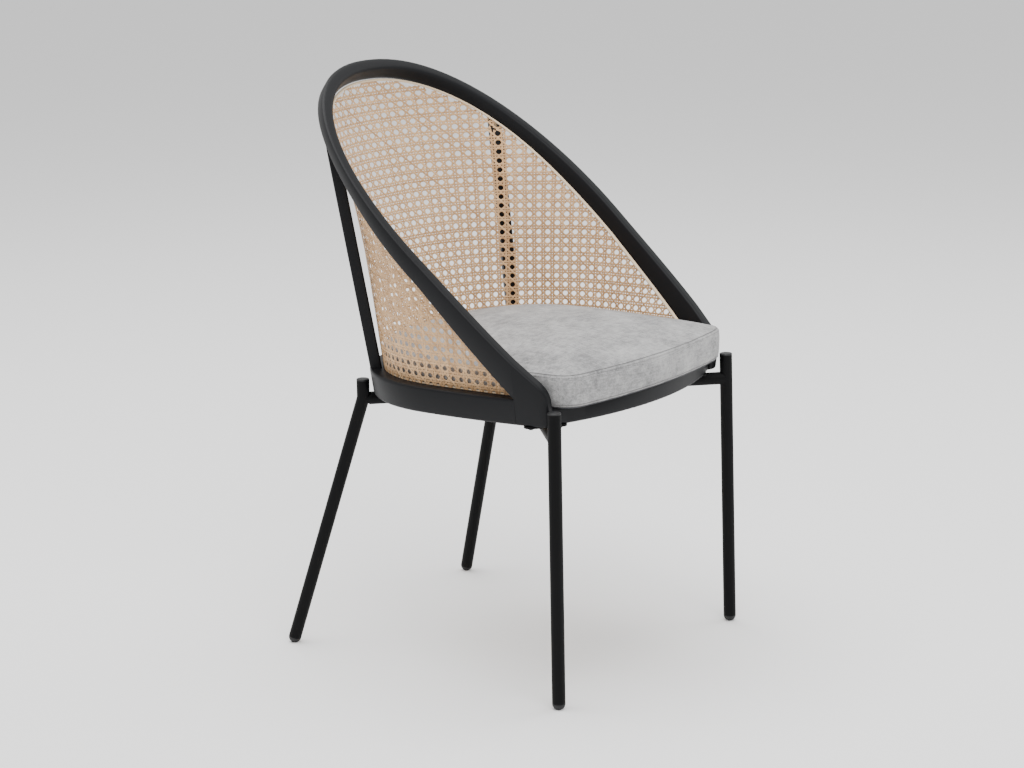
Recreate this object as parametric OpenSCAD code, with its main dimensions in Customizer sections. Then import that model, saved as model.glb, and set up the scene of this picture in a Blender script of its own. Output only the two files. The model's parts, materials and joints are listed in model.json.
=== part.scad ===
// Dining chair with a cane barrel back, a loose box cushion and a tubular steel underframe.
// The chair faces -Y, the sitter's left is +X and the floor is Z = 0.

/* [Seat frame] */
// Width of the seat frame at its widest, along the underside
seat_w = 483; // [440:1:520]
// Depth from the widest line to the outside of the back
seat_back_depth = 200; // [180:1:220]
// Depth from the widest line to the front of the front rail
seat_front_depth = 234; // [220:1:250]
// Height of the underside of the seat frame above the floor
seat_under_z = 398; // [380:1:430]
// Height of the band at the sides and back
band_h = 38; // [34:1:44]
// Thickness of the band
band_t = 27; // [24:1:30]
// Height of the front rail
rail_h = 25; // [20:1:30]
// Radius of the side's gentle curve towards the front
side_r = 1070; // [900:10:1400]
// Radius of the front rail's curve
front_r = 540; // [480:10:700]
// Squareness of the back's plan curve, where 2 is an ellipse
back_squareness = 2.22; // [2:0.05:2.6]

/* [Back] */
// Height of the chair
back_h = 866; // [830:1:900]
// Slope of the hoop's front edge, in degrees
hoop_angle = 40.7; // [39:0.5:44]
// Thickness of the hoop and its arms
hoop_t = 18; // [14:0.5:20]
// Width of the hoop at the top of the back
hoop_w_top = 27; // [22:1:34]
// Width of the arms where they meet the seat frame
hoop_w_arm = 42; // [36:1:46]
// Outward lean of the sides, in degrees
side_lean = 5.5; // [3:0.1:7]
// Extra outward lean of the front of the arms, in degrees
arm_flare = 4.5; // [0:0.5:8]
// Outward lean of the back, in degrees
back_lean = 10.5; // [7:0.1:12]
// Width of each back post
post_w = 20; // [16:1:24]
// Place of the back posts, in degrees round the back from the side
post_turn = 44.5; // [42:0.5:52]
// Depth of each back post, front to back
post_d = 17; // [14:1:20]

/* [Cane] */
// Thickness of the woven cane
cane_t = 1.4; // [1:0.1:2]
// Bare width of hoop in front of the cane round the back
cane_drop_top = 24; // [16:0.5:26]
// Bare width of hoop above the cane where the arms meet the seat frame
cane_drop_arm = 31; // [22:0.5:34]
// How far the cane is drawn in at the rounded corners of the back
cane_waist = 13; // [0:1:16]
// Width of the reed bead that trims the cane's edge
bead_w = 5; // [4:0.5:6]

/* [Cushion] */
// Height of the cushion's side band, seam to seam
boxing_h = 44; // [36:1:50]
// Rise of the crowned top above the seam
crown_h = 26; // [16:1:32]
// How far the cushion stands proud of the front rail
cushion_overhang = 8; // [4:1:12]
// Radius of the cushion's front corners
cushion_corner_r = 30; // [28:1:55]
// Thickness of the cushion's cover
cover_t = 1.5; // [1:0.1:2]

/* [Underframe] */
// Outside diameter of the legs and cross tubes
tube_d = 19; // [18:0.5:20]
// Wall thickness of the tubes
tube_wall = 1.5; // [1.2:0.1:2]
// Distance between the front legs at the top
front_leg_gap = 457; // [440:1:480]
// Distance between the rear legs at the top
rear_leg_gap = 348; // [320:1:380]

/* [Hidden] */

fine = 64;
tiny = 0.01;
gap = 0.15;

// Plan of the shell: y of its widest line, and the back's place at the underside
widest_y = -28.5;
half_w = seat_w / 2;
back_y = widest_y + seat_back_depth;
front_y = widest_y - seat_front_depth;
side_centre = [half_w - side_r, widest_y];
front_centre = [0, front_y + front_r];

// Heights
band_top_z = seat_under_z + band_h;
rail_top_z = seat_under_z + rail_h;
board_t = 12;
board_top_z = rail_top_z;
board_z = board_top_z - board_t;
cushion_z = board_top_z + 0.5;
seam_z = cushion_z + boxing_h;

// The hoop's front edge lies in a plane, given as [height at y = 0, rise per unit of y]
hoop_slope = tan(hoop_angle);
back_top_y = back_y + tan(back_lean) * (back_h - seat_under_z);
hoop_high = [back_h - hoop_slope * back_top_y, hoop_slope];
hoop_low = [hoop_high[0] - hoop_w_top / cos(hoop_angle), hoop_slope];
hoop_round = 4;
arm_joint_y = (band_top_z + hoop_w_arm / cos(hoop_angle) - hoop_high[0]) / hoop_slope;
arm_end_y = -213.5;
arm_end_r = 14;
cane_end_y = -183.5;

// Steps along the shell
cane_steps = 8;
back_steps = 36;
side_steps = 9;
foot_steps = 4;
corner_steps = 3;
end_steps = 5;

// Underframe
tube_r = tube_d / 2;
cross_z = 385.5;
bend_z = 387;
front_top = [front_leg_gap / 2, -239.5, 424];
front_foot = [234, -246.5, tube_r];
rear_top = [rear_leg_gap / 2, 140.5, 415.5];
rear_foot = [218.5, 251, tube_r];
cap_h = 2.5;
plug_l = 12;
plug_r = tube_r - tube_wall - 0.1;
foot_flat_r = 4;
plate_w = 20;
bolt_r = 2.5;
bolt_l = 14;
bolt_head_r = 4.8;
bolt_head_h = 2.8;
bolt_head_taper = 1.6;
bolt_socket = [1.8, 1.5];
insert_r = 3.6;
insert_l = 12;

// ---------- the leaning shell ----------

// One station of the shell: [plan point, outward direction, lean of the hoop's front edge].
// The lean is the outward step from the seat frame, per unit of height.
lean_power = 2.1;
strip_power = 5;
function lean_at(out) =
    tan(side_lean) + (tan(back_lean) - tan(side_lean)) * pow(max(0, out.y), lean_power);
function flare_at(y) = pow(min(1, (y - widest_y) / (arm_joint_y - widest_y)), 2);
function back_station(turn) =
    let (c = cos(turn), s = sin(turn), n = back_squareness,
         slope_x = pow(c, 2 - 2 / n) / half_w, slope_y = pow(s, 2 - 2 / n) / seat_back_depth,
         out = [slope_x, slope_y] / norm([slope_x, slope_y]))
    [[half_w * pow(c, 2 / n), widest_y + seat_back_depth * pow(s, 2 / n)], out, lean_at(out)];
function side_station(y) =
    let (sine = (y - widest_y) / side_r, out = [sqrt(1 - sine * sine), sine])
    [side_centre + side_r * out, out, lean_at(out) + tan(arm_flare) * flare_at(y)];
function flip(s) = [[-s[0].x, s[0].y], [-s[1].x, s[1].y], s[2]];
function reversed(list) = [for (i = [len(list) - 1:-1:0]) list[i]];

// Stations from the middle of the back to a point on the left side
function half_shell(end_y) = concat(
    [for (i = [0:back_steps]) back_station(90 - 90 * i / back_steps)],
    [for (i = [1:side_steps]) side_station(widest_y + (end_y - widest_y) * i / side_steps)]
);
// Both sides: from the left side round the back to the right side
function both_sides(half) = concat(reversed(half), [for (i = [1:len(half) - 1]) flip(half[i])]);

// A point of the shell at height z, inset from its outer surface
function shell_point(s, z, inset) =
    let (p = s[0] + s[1] * (s[2] * (z - seat_under_z) - inset)) [p.x, p.y, z];
// Height at which a plane cuts the shell's inset surface at a station
function cut_z(s, plane, inset) =
    (plane[0] + plane[1] * (s[0].y - s[1].y * (s[2] * seat_under_z + inset)))
    / (1 - plane[1] * s[1].y * s[2]);

// The hoop is a strip set square to the plane of its front edge, so round the back it
// leans away behind that edge, and along the arms it follows the shell.
// Fall of the strip per unit of its width, and its outward slant per unit of fall
function fall(out) = sin(hoop_angle) * hoop_slope * out.x * out.x + cos(hoop_angle);
function slant(s) =
    let (turned = pow(max(0, s[1].y), strip_power))
    sin(hoop_angle) * turned / fall(s[1]) - (1 - turned) * s[2];
// The strip's thickness, measured level
function level_t(out) = hoop_t * norm([out.x, out.y * cos(hoop_angle)]);
// How far along an arm a station lies, from 0 at the widest line to 1 at the seat frame
function along_arm(s) = max(0, (widest_y - s[0].y) / (widest_y - arm_joint_y));
function hoop_w(s) = hoop_w_top + (hoop_w_arm - hoop_w_top) * along_arm(s);
function cane_drop(s) = cane_drop_top + (cane_drop_arm - cane_drop_top) * along_arm(s);
// A point of the hoop, some way below its front edge
function hoop_point(s, drop, inset) =
    let (z = cut_z(s, hoop_high, inset),
         p = s[0] + s[1] * (s[2] * (z - seat_under_z) - inset + drop * slant(s)))
    [p.x, p.y, z - drop];

// The cane runs from the band's groove up to the hoop's inner face, drawn in a little
// between them at the back's rounded corners. Its points go by k, from 0 at the foot to 1.
function cane_top(s) = cut_z(s, hoop_high, level_t(s[1])) - cane_drop(s) * fall(s[1]);
function cane_point(s, k, inset) =
    let (foot = s[2] * (cane_foot_z - seat_under_z) - cane_in, top = max(cane_top(s), cane_foot_z + 2),
         high = cut_z(s, hoop_high, level_t(s[1])),
         head = s[2] * (high - seat_under_z) - level_t(s[1]) - gap + (high - top) * slant(s),
         waist = cane_waist * 4 * pow(s[1].x * max(0, s[1].y), 2) * sin(180 * pow(k, 1.5)),
         p = s[0] + s[1] * (foot + (head - foot) * k - waist - inset))
    [p.x, p.y, cane_foot_z + (top - cane_foot_z) * k];

// Corner rounding: [step in from the face, step in from the edge]
function corner(r, steps) =
    [for (i = [0:steps]) [r * (1 - cos(90 * i / steps)), r * (1 - sin(90 * i / steps))]];

// A solid through a row of closed loops with equal numbers of points
module skin(loops) {
    n = len(loops[0]);
    m = len(loops);
    sides = [for (i = [0:m - 2], j = [0:n - 1])
        let (a = i * n + j, b = i * n + (j + 1) % n) each [[a, b, b + n], [a, b + n, a + n]]];
    polyhedron(
        points = [for (loop = loops) each loop],
        faces = concat([[for (j = [n - 1:-1:0]) j]], sides, [[for (j = [0:n - 1]) (m - 1) * n + j]])
    );
}

// ---------- wooden frame ----------

// Fall of the hoop's section: its own width, or for zero width down to the underside of the seat
function section_fall(s, w, inset) =
    w > 0 ? w * fall(s[1]) : cut_z(s, hoop_high, inset) - seat_under_z;
// Section of the hoop at a station, shrunk by e all round and by top_e at the top
function hoop_loop(s, w, e, top_e) =
    let (c = corner(hoop_round, corner_steps), rc = reversed(c), i = level_t(s[1]) - e)
    concat(
        [for (k = rc) hoop_point(s, section_fall(s, w, e + k[0]) - e - k[1], e + k[0])],
        [for (k = c) hoop_point(s, top_e + k[1], e + k[0])],
        [for (k = rc) hoop_point(s, top_e + k[1], i - k[0])],
        [for (k = c) hoop_point(s, section_fall(s, w, i - k[0]) - e - k[1], i - k[0])]
    );
foot_y = [for (i = [0:foot_steps]) arm_joint_y - 0.5 + (arm_end_y - arm_joint_y + 0.5) * i / foot_steps];
// The rounded front end of an arm
arm_end_shrink = 4;
function arm_end_loop(k) =
    let (a = 90 * k / end_steps)
    hoop_loop(side_station(arm_end_y - arm_end_r * sin(a)), 0, arm_end_shrink * (1 - cos(a)),
              arm_end_r * (1 - cos(a)));
half_hoop = concat(
    [for (s = half_shell(arm_joint_y)) hoop_loop(s, hoop_w(s), 0, 0)],
    [for (y = foot_y) hoop_loop(side_station(y), 0, 0, 0)],
    [for (k = [1:end_steps]) arm_end_loop(k)]
);
function mirrored(loop) = [for (p = loop) [-p.x, p.y, p.z]];

module back_hoop() {
    color([0.11, 0.11, 0.12])
        difference() {
            skin(concat(reversed(half_hoop), [for (i = [1:len(half_hoop) - 1]) mirrored(half_hoop[i])]));
            for (side = [0, 1]) mirror([side, 0, 0]) {
                post_dowel(post_top_z, dowel_hole_r);
                rail_dowel_pair(dowel_hole_r);
                insert_hole(front_bolts[0]);
            }
        }
}

groove_in = 21;
groove_out = 25;
groove_h = 8;

// Section of the seat band: rounded outside, grooved on top for the cane
function band_loop(s) =
    let (r = 4, c = corner(r, corner_steps), rc = reversed(c), ground = seat_under_z, top = band_top_z)
    concat(
        [for (k = rc) shell_point(s, ground + k[1], k[0])],
        [for (k = c) shell_point(s, top - k[1], k[0])],
        [for (q = [[groove_in, 0], [groove_in, groove_h], [groove_out, groove_h], [groove_out, 0],
                   [band_t - 1, 0], [band_t, 1]]) shell_point(s, top - q[1], q[0])],
        [shell_point(s, ground, band_t)]
    );

module seat_band() {
    color([0.11, 0.11, 0.12])
        difference() {
            skin([for (s = both_sides(half_shell(arm_joint_y))) band_loop(s)]);
            for (side = [0, 1]) mirror([side, 0, 0]) {
                post_dowel(band_top_z, dowel_hole_r);
                for (p = rear_bolts) insert_hole(p);
            }
        }
}

// The front rail butts against the inner faces of the arms
rail_t = 20;
rail_round = 4;
rail_sweep = 28;

module rail_section() {
    translate([front_r - rail_t, 0]) square([rail_t - rail_round, rail_h]);
    translate([front_r - rail_round, rail_round]) square([rail_round, rail_h - 2 * rail_round]);
    for (y = [rail_round, rail_h - rail_round])
        translate([front_r - rail_round, y]) circle(rail_round, $fn = fine);
}

// Everything outside the left arm's inner face
module beyond_left_arm() {
    s = side_station(arm_end_y);
    edge = s[0] - s[1] * (hoop_t + gap);
    translate([edge.x, edge.y, seat_under_z])
        rotate([0, atan(s[2]), atan2(s[1].y, s[1].x)])
        translate([0, -100, -50]) cube([100, 200, 100]);
}

module front_rail() {
    color([0.11, 0.11, 0.12])
        difference() {
            translate([0, front_centre.y, seat_under_z])
                rotate([0, 0, -90 - rail_sweep])
                rotate_extrude(angle = 2 * rail_sweep, $fn = 4 * fine) rail_section();
            beyond_left_arm();
            mirror([1, 0, 0]) beyond_left_arm();
            for (side = [0, 1]) mirror([side, 0, 0]) {
                insert_hole(front_bolts[1]);
                rail_dowel_pair(dowel_hole_r);
            }
        }
}

// A back post stands on the band outside the cane and reaches the hoop's rear edge
post = back_station(post_turn);
post_in = 10.5;
post_foot = let (p = shell_point(post, seat_under_z, post_in)) [p.x, p.y, seat_under_z];
post_rise = [0.0755, 0.158, 1];
post_turned = angle_of(post[1]) - angle_of(post_rise);

// Carries its children to the post's axis, with Z along it and X facing outward
module on_post(z) {
    along(post_foot + post_rise * (z - seat_under_z), post_foot + post_rise * (z + 1 - seat_under_z))
        rotate(post_turned) children();
}
post_round = 3;
post_run = 480;
module post_bar() {
    r = post_round;
    on_post(seat_under_z) linear_extrude(post_run) {
        translate([r - post_d / 2, -post_w / 2]) square([post_d - 2 * r, post_w]);
        translate([-post_d / 2, r - post_w / 2]) square([post_d, post_w - 2 * r]);
        for (x = [-1, 1], y = [-1, 1])
            translate([x * (post_d / 2 - r), y * (post_w / 2 - r)]) circle(r, $fn = fine);
    }
}

module back_post() {
    difference() {
        intersection() {
            post_bar();
            translate([0, 0, band_top_z]) cube([400, 400, 500]);
            // Below the hoop's rear edge
            translate([0, 0, hoop_low[0]])
                rotate([hoop_angle, 0, 0])
                translate([0, -600, -900]) cube([400, 1200, 900]);
        }
        post_dowel(band_top_z, dowel_hole_r);
        post_dowel(post_top_z, dowel_hole_r);
    }
}

module back_post_left() { color([0.11, 0.11, 0.12]) back_post(); }
module back_post_right() { color([0.11, 0.11, 0.12]) mirror([1, 0, 0]) back_post(); }

// A dowel in an end of a back post
dowel_r = 2.5;
dowel_hole_r = dowel_r + 0.02;
dowel_l = 24;
post_top_z = (hoop_low[0] + hoop_low[1] * (post_foot.y - post_rise.y * seat_under_z))
    / (1 - hoop_low[1] * post_rise.y);
module post_dowel(z, r) {
    on_post(z) translate([0, 0, -dowel_l / 2]) cylinder(h = dowel_l, r = r, $fn = fine);
}

// ---------- cane ----------

spline_crown = 1.4;
spline_edge = 0.8;
cane_in = groove_in + gap;
cane_foot_z = band_top_z - groove_h + 1;
cane_path = both_sides(half_shell(cane_end_y));

function cane_loop(s) = concat([for (k = [0:cane_steps]) cane_point(s, k / cane_steps, 0)],
                               [for (k = [cane_steps:-1:0]) cane_point(s, k / cane_steps, cane_t)]);

module cane_panel() {
    color([0.80, 0.66, 0.47]) skin([for (s = cane_path) cane_loop(s)]);
}

bead_t = 3;
bead_sides = 8;
// A half-round bead lies on the cane along the cane's top edge
function bead_loop(s) =
    let (height = max(cane_top(s), cane_foot_z + 2) - cane_foot_z)
    [for (i = [0:bead_sides])
        let (a = 180 * i / bead_sides, fallen = bead_w / 2 * fall(s[1]) * (1 - cos(a)))
        cane_point(s, 1 - min(0.8, fallen / height), cane_t + gap / 3 + bead_t * sin(a))];

module upper_reed_bead() {
    color([0.87, 0.76, 0.58]) skin([for (s = cane_path) bead_loop(s)]);
}

function spline_loop(s) =
    let (a = cane_in + cane_t + gap / 3, b = groove_out - gap, z = band_top_z - groove_h + 1)
    [shell_point(s, z, a), shell_point(s, band_top_z + spline_edge, a),
     shell_point(s, band_top_z + spline_crown, (a + b) / 2),
     shell_point(s, band_top_z + spline_edge, b),
     shell_point(s, z, b)];

module lower_reed_spline() {
    color([0.87, 0.76, 0.58])
        skin([for (s = both_sides(half_shell(arm_joint_y))) spline_loop(s)]);
}

// ---------- seat ----------

// The crossing of two circles that lies towards -Y
function meet(c1, r1, c2, r2) =
    let (d = norm(c2 - c1), u = (c2 - c1) / d, along = (r1 * r1 - r2 * r2 + d * d) / (2 * d),
         off = sqrt(r1 * r1 - along * along), a = c1 + along * u + off * [u.y, -u.x],
         b = c1 + along * u - off * [u.y, -u.x])
    a.y < b.y ? a : b;
function arc(centre, r, from, to, steps) =
    [for (i = [0:steps]) let (a = from + (to - from) * i / steps) centre + r * [cos(a), sin(a)]];
function angle_of(v) = atan2(v.y, v.x);

// Half of a D-shaped outline inside the shell at height z, from the middle of the back
function half_outline(z, inset, front_centre, front_radius, corner_r) =
    let (side_radius = side_r - inset + tan(side_lean) * (z - seat_under_z),
         q = meet(side_centre, side_radius - corner_r, front_centre, front_radius - corner_r),
         a1 = angle_of(q - side_centre), a2 = angle_of(q - front_centre),
         back = [for (s = half_shell(widest_y)) let (p = shell_point(s, z, inset)) [p.x, p.y]])
    concat(
        [for (i = [0:2:back_steps - 1]) back[i]],
        arc(side_centre, side_radius, 0, a1, 6),
        [for (i = [1:5]) let (a = a1 + (a2 - a1) * i / 6) q + corner_r * [cos(a), sin(a)]],
        arc(front_centre, front_radius, a2, -90, 8)
    );
function outline(z, inset, front_centre, front_radius, corner_r) =
    let (half = half_outline(z, inset, front_centre, front_radius, corner_r), n = len(half))
    concat(half, [for (i = [n - 2:-1:1]) [-half[i].x, half[i].y]]);
board_in = band_t + 0.5;
board_r = 12;
board_outline = outline(board_z, board_in, front_centre, front_r - rail_t - 0.5, board_r);

module seat_board() {
    color([0.16, 0.15, 0.14])
        difference() {
            translate([0, 0, board_z]) linear_extrude(board_t) polygon(board_outline);
            for (p = screw_places) translate([p.x, p.y, board_z - 1])
                cylinder(h = screw_l - block_h + 2, r = screw_r, $fn = fine);
        }
}

// Cushion: a box cushion with a crowned top, as loops from the bottom to the crown
cushion_in = band_t + 0.5;
cushion_front_r = 900;
cushion_front = [0, front_y - cushion_overhang + cushion_front_r];
crown_steps = 7;
base_cloth_t = 1.5;
// In front of the seat band the cushion fills out towards the arms
cushion_fill = 0.033;
cushion_fill_l = 40;
function fill_at(y) = 1 + cushion_fill * min(1, max(0, (arm_joint_y - y) / cushion_fill_l));
function cushion_ring(z, inset, e) =
    [for (p = outline(z, cushion_in + inset + e, cushion_front, cushion_front_r - inset - e,
                      cushion_corner_r)) [p.x * fill_at(p.y), p.y, z]];
function cushion_loops(inset, bottom_z) = concat(
    [cushion_ring(bottom_z, inset, 2), cushion_ring(cushion_z + 5, inset, 0),
     cushion_ring(seam_z, inset, 0)],
    [for (k = [1:crown_steps])
        let (shrink = cos(88 * k / crown_steps), rise = crown_h * (1 - pow(shrink, 3)))
        [for (p = cushion_ring(seam_z, inset, 0))
            [p.x * shrink, widest_y + (p.y - widest_y) * shrink, seam_z - inset + rise]]]
);

module seat_foam() {
    color([0.93, 0.90, 0.80])
        skin(cushion_loops(cover_t + gap, cushion_z + base_cloth_t + gap));
}

module seat_cover() {
    color([0.60, 0.60, 0.61])
        skin(concat(reversed(cushion_loops(cover_t, cushion_z + base_cloth_t)),
                    cushion_loops(0, cushion_z + base_cloth_t)));
}

module cover_base() {
    color([0.35, 0.35, 0.36])
        translate([0, 0, cushion_z]) linear_extrude(base_cloth_t - gap)
        polygon([for (p = cushion_ring(cushion_z, 0, 2)) [p.x, p.y]]);
}

// Blocks glued in the corners under the seat board
block_h = board_z - seat_under_z;
block_size = [44, 78];
block_r = 8;
screw_r = 2;
screw_l = 21;
screw_head_r = 4;
front_block_place = [185, -197.5];
rear_block_place = [134, 102.5];
front_screw = [182, -183.5];
rear_screw = [126, 91.5];
screw_places = [for (p = [front_screw, rear_screw], side = [-1, 1]) [side * p.x, p.y]];

module corner_block(place, turn) {
    color([0.62, 0.47, 0.31])
        difference() {
            translate([0, 0, seat_under_z]) linear_extrude(block_h - tiny)
                intersection() {
                    polygon(outline(seat_under_z, band_t + gap, front_centre,
                                    front_r - rail_t - gap, block_r));
                    translate(place) rotate(turn) square(block_size, center = true);
                }
            for (p = screw_places) board_screw(p, gap);
        }
}

module board_screw(p, clear) {
    translate([p.x, p.y, seat_under_z]) {
        cylinder(h = screw_l, r = screw_r + clear, $fn = fine);
        cylinder(h = screw_head_r - screw_r, r1 = screw_head_r + clear, r2 = screw_r + clear, $fn = fine);
    }
}

module block_front_left() { corner_block(front_block_place, -45); }
module block_front_right() { mirror([1, 0, 0]) block_front_left(); }
module block_rear_left() { corner_block(rear_block_place, 45); }
module block_rear_right() { mirror([1, 0, 0]) block_rear_left(); }
module board_screws() { color([0.55, 0.55, 0.56]) for (p = screw_places) board_screw(p, 0); }

// Dowels between the front rail and the arms
rail_dowel_back = 4;
rail_dowel_heights = [7, 18];
rail_dowel_in_arm = 9;
module rail_dowel_pair(r) {
    s = side_station(arm_end_y - rail_dowel_back);
    p = s[0] - s[1] * (hoop_t + gap);
    for (z = rail_dowel_heights)
        translate([p.x, p.y, seat_under_z + z])
            rotate([0, 90, angle_of(s[1])]) translate([0, 0, rail_dowel_in_arm - dowel_l])
            cylinder(h = dowel_l, r = r, $fn = fine);
}

module rail_dowels() {
    color([0.75, 0.60, 0.42])
        for (side = [0, 1]) mirror([side, 0, 0]) rail_dowel_pair(dowel_r);
}

// ---------- underframe ----------

// Places its children with their Z axis along the line from p to q
module along(p, q) {
    d = q - p;
    translate(p) rotate([0, acos(d.z / norm(d)), atan2(d.y, d.x)]) children();
}
module rod(p, q, r, extra = 0) {
    along(p, q) translate([0, 0, -extra]) cylinder(h = norm(q - p) + 2 * extra, r = r, $fn = fine);
}

foot_z = sqrt(tube_r * tube_r - foot_flat_r * foot_flat_r);
front_foot_p = [front_foot.x, front_foot.y, foot_z];
rear_foot_p = [rear_foot.x, rear_foot.y, foot_z];
front_up = (front_top - front_foot_p) / norm(front_top - front_foot_p);
front_tube_top = front_top - front_up * cap_h;
rear_bend = [rear_top.x, rear_top.y, bend_z];
rear_down = (rear_foot_p - rear_bend) / norm(rear_foot_p - rear_bend);
elbow_swell = 0.05;
rear_tube_top = [rear_top.x, rear_top.y, rear_top.z - cap_h];

module rear_leg_solid(r, extra = 0) {
    rod(rear_bend, rear_tube_top + [0, 0, extra], r);
    translate(rear_bend) sphere(r + elbow_swell, $fn = fine);
    rod(rear_bend, rear_foot_p + rear_down * extra, r);
}

module leg_front_left() {
    color([0.07, 0.07, 0.08]) difference() {
        rod(front_foot_p, front_tube_top, tube_r);
        rod(front_foot_p, front_tube_top, tube_r - tube_wall, 1);
    }
}
module leg_front_right() { mirror([1, 0, 0]) leg_front_left(); }
module leg_rear_left() {
    color([0.07, 0.07, 0.08]) difference() {
        rear_leg_solid(tube_r);
        rear_leg_solid(tube_r - tube_wall, 1);
    }
}
module leg_rear_right() { mirror([1, 0, 0]) leg_rear_left(); }

// Plug with a rounded head, on the top of a leg
module leg_cap() {
    r = 1.2;
    color([0.07, 0.07, 0.08]) {
        rotate_extrude($fn = fine) {
            square([tube_r - r, cap_h]);
            square([tube_r, cap_h - r]);
            translate([tube_r - r, cap_h - r]) circle(r, $fn = fine);
        }
        translate([0, 0, -plug_l]) cylinder(h = plug_l + tiny, r = plug_r, $fn = fine);
    }
}
module cap_front_left() { along(front_tube_top, front_top) leg_cap(); }
module cap_front_right() { mirror([1, 0, 0]) cap_front_left(); }
module cap_rear_left() { translate(rear_tube_top) leg_cap(); }
module cap_rear_right() { mirror([1, 0, 0]) cap_rear_left(); }

// Round-ended glide plugged into the foot of a leg, with a small flat to stand on
module foot_glide(foot, up) {
    color([0.05, 0.05, 0.05]) difference() {
        along(foot, foot + up) {
            difference() {
                sphere(tube_r, $fn = fine);
                cylinder(h = 2 * tube_r, r = 2 * tube_r);
            }
            translate([0, 0, -tiny]) cylinder(h = plug_l, r = plug_r, $fn = fine);
        }
        translate([foot.x, foot.y, -tube_r]) cube(2 * tube_r, center = true);
    }
}
module glide_front_left() { foot_glide(front_foot_p, front_up); }
module glide_front_right() { mirror([1, 0, 0]) glide_front_left(); }
module glide_rear_left() { foot_glide(rear_foot_p, -rear_down); }
module glide_rear_right() { mirror([1, 0, 0]) glide_rear_left(); }

// The two diagonals under the seat: one tube runs through, the other is in two halves
front_weld = front_foot_p + front_up * ((cross_z - foot_z) / front_up.z);
rear_weld = [rear_top.x, rear_top.y, cross_z];
crossing = let (t = rear_weld.x / (rear_weld.x + front_weld.x))
    [0, rear_weld.y + t * (front_weld.y - rear_weld.y), cross_z];

module cross_tube(p, q) {
    difference() {
        rod(p, q, tube_r);
        rod(p, q, tube_r - tube_wall, 1);
    }
}
module leg_saddles() {
    r = tube_r + gap / 3;
    for (side = [0, 1]) mirror([side, 0, 0]) {
        rod(front_foot_p, front_top, r);
        rod(rear_bend - [0, 0, tube_d], rear_tube_top, r);
        rod(rear_bend - rear_down * tube_d, rear_foot_p, r);
    }
}
module cross_tube_long() {
    color([0.07, 0.07, 0.08]) difference() {
        cross_tube([-rear_weld.x, rear_weld.y, cross_z], front_weld);
        leg_saddles();
    }
}
module half_tube(p) {
    color([0.07, 0.07, 0.08]) difference() {
        cross_tube(p, crossing);
        leg_saddles();
        rod([-rear_weld.x, rear_weld.y, cross_z], front_weld, tube_r + gap);
    }
}
module cross_tube_front() { half_tube([-front_weld.x, front_weld.y, cross_z]); }
module cross_tube_rear() { half_tube(rear_weld); }

// Plates welded on the cross tubes, each bolted to the wooden frame at two places
plate_z = cross_z + tube_r;
arm_bolt_y = -195.5;
rail_bolt = [186, -219.5];
rear_bolt_turns = [44, 56];
front_bolts = [for (s = [side_station(arm_bolt_y)]) each [s[0] - s[1] * hoop_t / 2, rail_bolt]];
rear_bolts = [for (turn = rear_bolt_turns)
    let (p = shell_point(back_station(turn), seat_under_z, band_t / 2)) [p.x, p.y]];

module mounting_plate(bolts) {
    color([0.07, 0.07, 0.08])
        translate([0, 0, plate_z]) linear_extrude(seat_under_z - plate_z - tiny)
        difference() {
            hull() for (p = bolts) translate(p) circle(plate_w / 2, $fn = 32);
            for (p = bolts) translate(p) circle(bolt_r + 0.25, $fn = fine);
        }
}
module plate_front_left() { mounting_plate(front_bolts); }
module plate_front_right() { mirror([1, 0, 0]) plate_front_left(); }
module plate_rear_left() { mounting_plate(rear_bolts); }
module plate_rear_right() { mirror([1, 0, 0]) plate_rear_left(); }

module insert_hole(p) {
    translate([p.x, p.y, seat_under_z - 1]) cylinder(h = insert_l + 2, r = insert_r + tiny, $fn = fine);
}
module frame_bolts() {
    color([0.07, 0.07, 0.08])
        for (side = [0, 1], p = concat(front_bolts, rear_bolts)) mirror([side, 0, 0])
            translate([p.x, p.y, plate_z - tiny]) {
                cylinder(h = bolt_l, r = bolt_r - 0.05, $fn = fine);
                difference() {
                    translate([0, 0, -bolt_head_h])
                        cylinder(h = bolt_head_h, r1 = bolt_head_r - bolt_head_taper,
                                 r2 = bolt_head_r, $fn = fine);
                    translate([0, 0, -bolt_head_h - 1])
                        cylinder(h = bolt_socket[1] + 1, r = bolt_socket[0], $fn = 6);
                }
            }
}
module threaded_inserts() {
    color([0.72, 0.58, 0.32])
        for (side = [0, 1], p = concat(front_bolts, rear_bolts)) mirror([side, 0, 0])
            translate([p.x, p.y, seat_under_z + tiny]) difference() {
                cylinder(h = insert_l, r = insert_r, $fn = fine);
                translate([0, 0, -1]) cylinder(h = insert_l + 2, r = bolt_r, $fn = fine);
            }
}
module post_dowels() {
    color([0.75, 0.60, 0.42])
        for (side = [0, 1], z = [band_top_z, post_top_z]) mirror([side, 0, 0]) post_dowel(z, dowel_r);
}

back_hoop();
seat_band();
front_rail();
back_post_right();
back_post_left();
cane_panel();
upper_reed_bead();
lower_reed_spline();
seat_board();
seat_foam();
seat_cover();
cover_base();
block_front_right();
block_front_left();
block_rear_right();
block_rear_left();
leg_front_right();
leg_front_left();
leg_rear_right();
leg_rear_left();
cross_tube_long();
cross_tube_front();
cross_tube_rear();
plate_front_right();
plate_front_left();
plate_rear_right();
plate_rear_left();
cap_front_right();
cap_front_left();
cap_rear_right();
cap_rear_left();
glide_front_right();
glide_front_left();
glide_rear_right();
glide_rear_left();
frame_bolts();
threaded_inserts();
board_screws();
post_dowels();
rail_dowels();
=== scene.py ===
"""Looks of a cane-backed dining chair: bentwood, woven cane, a sewn cushion and a tube underframe."""

import json
import logging
import math
from collections.abc import Iterator, Sequence
from dataclasses import dataclass, field
from enum import Enum

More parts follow.
